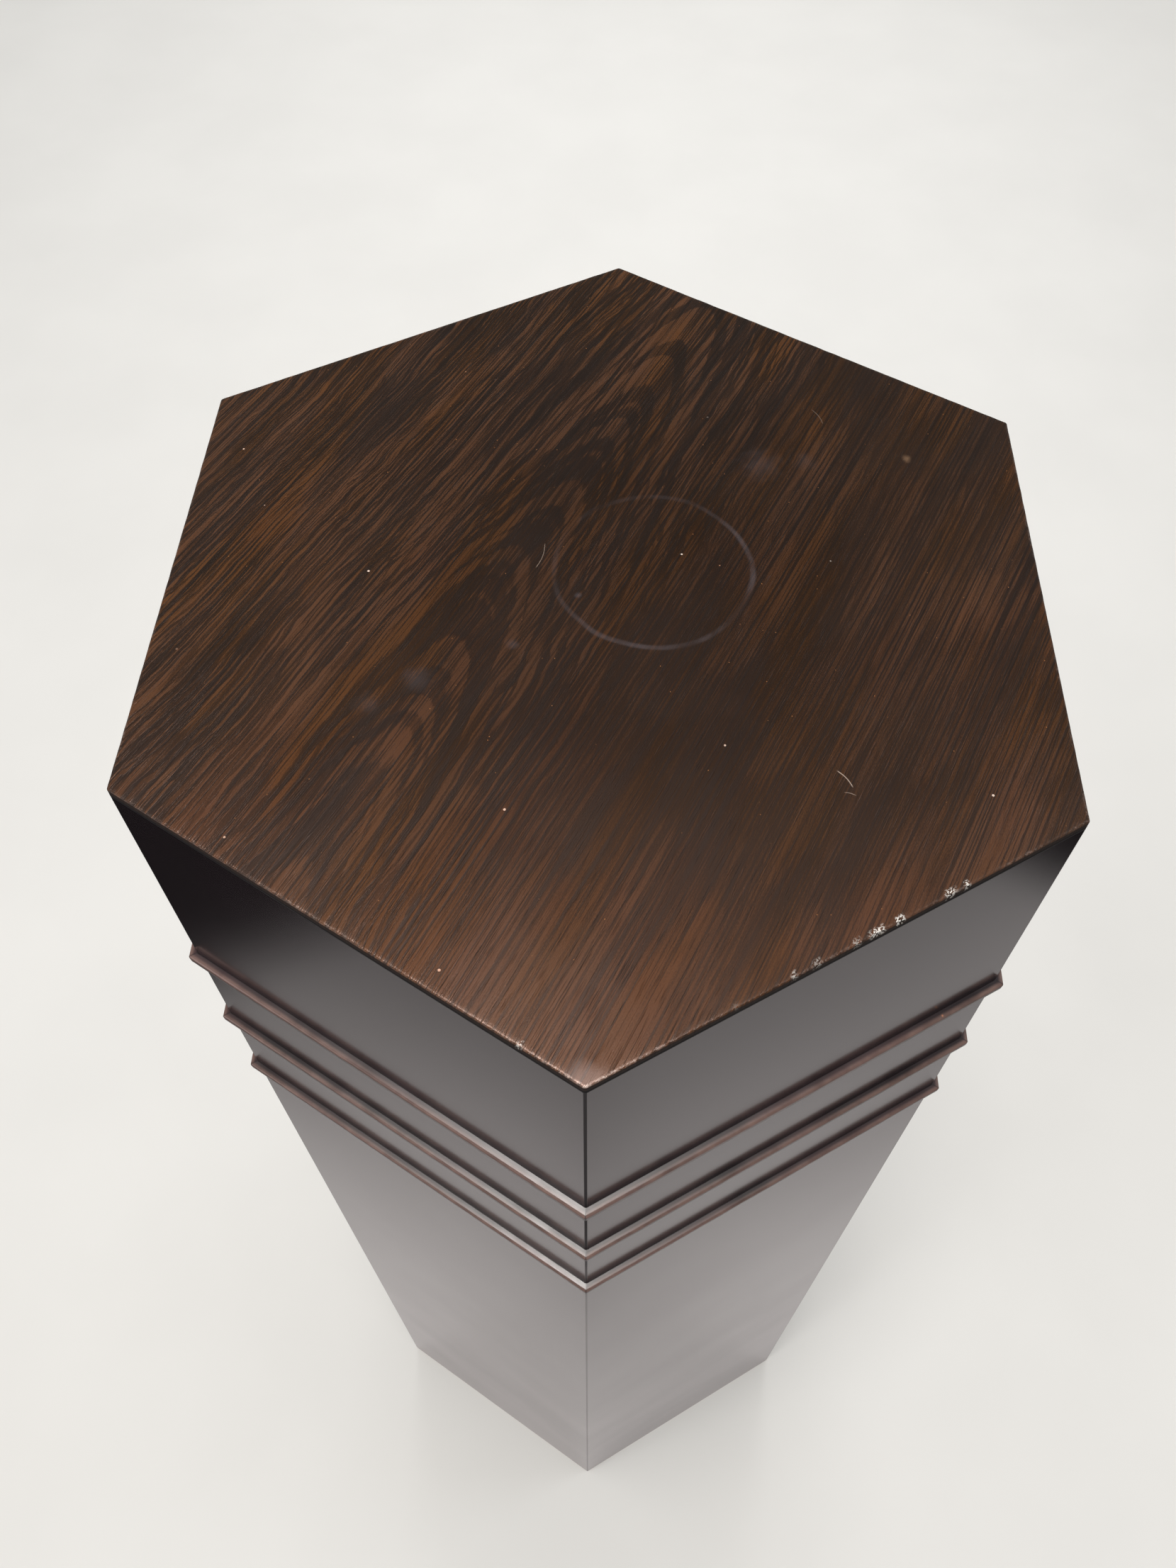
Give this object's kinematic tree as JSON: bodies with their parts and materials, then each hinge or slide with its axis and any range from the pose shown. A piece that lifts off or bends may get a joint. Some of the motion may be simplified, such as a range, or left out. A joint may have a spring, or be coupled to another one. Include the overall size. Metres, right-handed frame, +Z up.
{
  "type": "display plinth",
  "caption": "Tall hexagonal display plinth that widens towards the floor, with a dark wood-faced top, leaning lacquered side panels, rows of thin mitred strips and levelling feet.",
  "frame": {"origin": "on the floor, under the middle of the plinth", "axes": "+Z up the axis of the plinth, -Y towards the corner at the front, +X to the right"},
  "size_m": [0.398, 0.4592, 1.2],
  "materials": {
    "wood_face": "satin, dark brown open-grained veneer with a black edge",
    "bare_board": "bare fibreboard",
    "lacquered_panel": "smooth satin lacquer, near-black brown",
    "lacquered_strip": "satin lacquer, dark red-brown, rubbed on the edges",
    "softwood": "planed bare softwood",
    "zinc_steel": "zinc plated",
    "foot_steel": "bright zinc plated",
    "foot_plastic": "moulded black plastic"
  },
  "bodies": {
    "carcass": {"top_sheet": "wood_face", "top_board": "bare_board", "bottom_board": "bare_board", "bulkhead_lower": "bare_board", "bulkhead_upper": "bare_board", "side_panel_right": "lacquered_panel", "side_panel_back_right": "lacquered_panel", "side_panel_back_left": "lacquered_panel", "side_panel_left": "lacquered_panel", "side_panel_front_left": "lacquered_panel", "side_panel_front_right": "lacquered_panel", "band_1_right": "lacquered_strip", "band_1_back_right": "lacquered_strip", "band_1_back_left": "lacquered_strip", "band_1_left": "lacquered_strip", "band_1_front_left": "lacquered_strip", "band_1_front_right": "lacquered_strip", "band_2_right": "lacquered_strip", "band_2_back_right": "lacquered_strip", "band_2_back_left": "lacquered_strip", "band_2_left": "lacquered_strip", "band_2_front_left": "lacquered_strip", "band_2_front_right": "lacquered_strip", "band_3_right": "lacquered_strip", "band_3_back_right": "lacquered_strip", "band_3_back_left": "lacquered_strip", "band_3_left": "lacquered_strip", "band_3_front_left": "lacquered_strip", "band_3_front_right": "lacquered_strip", "corner_batten_right_back": "softwood", "corner_batten_back": "softwood", "corner_batten_left_back": "softwood", "corner_batten_left_front": "softwood", "corner_batten_front": "softwood", "corner_batten_right_front": "softwood", "top_board_screws": "zinc_steel", "bottom_board_screws": "zinc_steel", "foot_inserts": "zinc_steel"},
    "foot_right_back": {"foot_stem_right_back": "foot_steel", "foot_pad_right_back": "foot_plastic"},
    "foot_back": {"foot_stem_back": "foot_steel", "foot_pad_back": "foot_plastic"},
    "foot_left_back": {"foot_stem_left_back": "foot_steel", "foot_pad_left_back": "foot_plastic"},
    "foot_left_front": {"foot_stem_left_front": "foot_steel", "foot_pad_left_front": "foot_plastic"},
    "foot_front": {"foot_stem_front": "foot_steel", "foot_pad_front": "foot_plastic"},
    "foot_right_front": {"foot_stem_right_front": "foot_steel", "foot_pad_right_front": "foot_plastic"}
  },
  "joints": [
    {"name": "foot_right_back_level", "type": "slide", "parent": "carcass", "child": "foot_right_back", "axis": [0, 0, -1], "range_m": [0, 0.01]},
    {"name": "foot_back_level", "type": "slide", "parent": "carcass", "child": "foot_back", "axis": [0, 0, -1], "range_m": [0, 0.01]},
    {"name": "foot_left_back_level", "type": "slide", "parent": "carcass", "child": "foot_left_back", "axis": [0, 0, -1], "range_m": [0, 0.01]},
    {"name": "foot_left_front_level", "type": "slide", "parent": "carcass", "child": "foot_left_front", "axis": [0, 0, -1], "range_m": [0, 0.01]},
    {"name": "foot_front_level", "type": "slide", "parent": "carcass", "child": "foot_front", "axis": [0, 0, -1], "range_m": [0, 0.01]},
    {"name": "foot_right_front_level", "type": "slide", "parent": "carcass", "child": "foot_right_front", "axis": [0, 0, -1], "range_m": [0, 0.01]}
  ]
}
